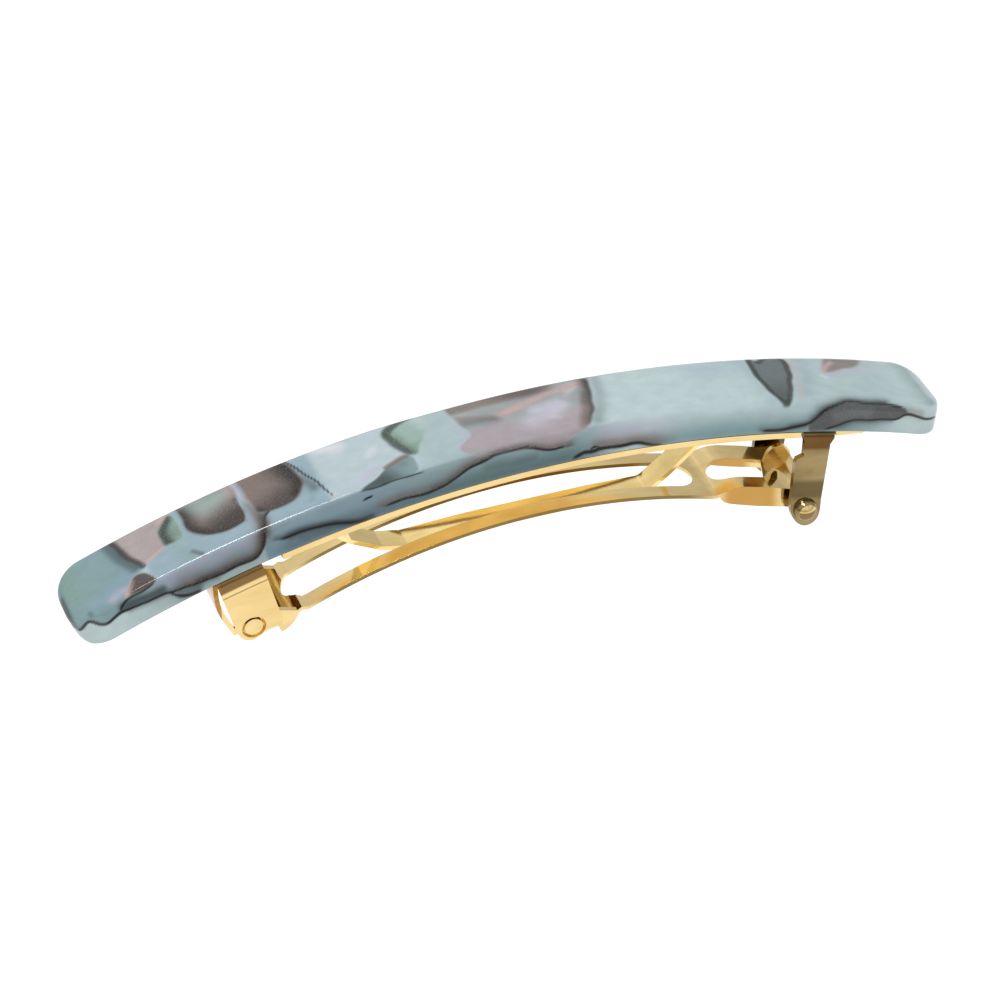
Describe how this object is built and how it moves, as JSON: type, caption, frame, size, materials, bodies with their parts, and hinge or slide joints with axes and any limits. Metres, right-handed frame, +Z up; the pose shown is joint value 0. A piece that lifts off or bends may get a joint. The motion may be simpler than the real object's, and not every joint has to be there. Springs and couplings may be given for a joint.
{
  "type": "hair barrette",
  "caption": "Curved hair barrette: a marbled acetate bar on a sprung metal French clip with a swinging arm, a slot, a tension strip and a pinch catch.",
  "frame": {"origin": "bottom centre of the object's bounding box, the bar right way up over the clip and the clip closed", "axes": "+X along the bar from the hinge end to the catch end, +Y across the bar towards the far side, +Z up through the top of the bar"},
  "size_m": [0.0972, 0.0132, 0.0199],
  "materials": {
    "acetate_bar": "polished marbled cellulose acetate, pale aqua with pearly lavender, taupe and brown veins",
    "base_plate": "mirror-polished light gold plating",
    "clasp_arm": "mirror-polished light gold plating",
    "tension_bow": "mirror-polished light gold plating",
    "catch_prong_near": "mirror-polished light gold plating",
    "catch_prong_far": "mirror-polished light gold plating"
  },
  "bodies": {
    "clip_base": {"acetate_bar": "acetate_bar", "base_plate": "base_plate"},
    "arm": {"clasp_arm": "clasp_arm"},
    "bow": {"tension_bow": "tension_bow"},
    "prong_near": {"catch_prong_near": "catch_prong_near"},
    "prong_far": {"catch_prong_far": "catch_prong_far"}
  },
  "joints": [
    {"name": "arm_hinge", "type": "hinge", "parent": "clip_base", "child": "arm", "pos_m": [-0.03005, 0, 0.00501], "axis": [0, 1, 0], "range_deg": [0, 75]},
    {"name": "bow_flex", "type": "hinge", "parent": "clip_base", "child": "bow", "pos_m": [-0.02881, 0, 0.01159], "axis": [0, 1, 0], "range_deg": [0, 3], "stiffness_Nm_per_rad": 0.05, "springref_deg": -2.86},
    {"name": "prong_near_flex", "type": "hinge", "parent": "clip_base", "child": "prong_near", "pos_m": [0.03332, -0.0044, 0.01123], "axis": [-0.9653, 0, 0.2612], "range_deg": [-2, 5], "stiffness_Nm_per_rad": 0.2},
    {"name": "prong_far_flex", "type": "hinge", "parent": "clip_base", "child": "prong_far", "pos_m": [0.03332, 0.0044, 0.01123], "axis": [0.9653, 0, -0.2612], "range_deg": [-2, 5], "stiffness_Nm_per_rad": 0.2}
  ]
}
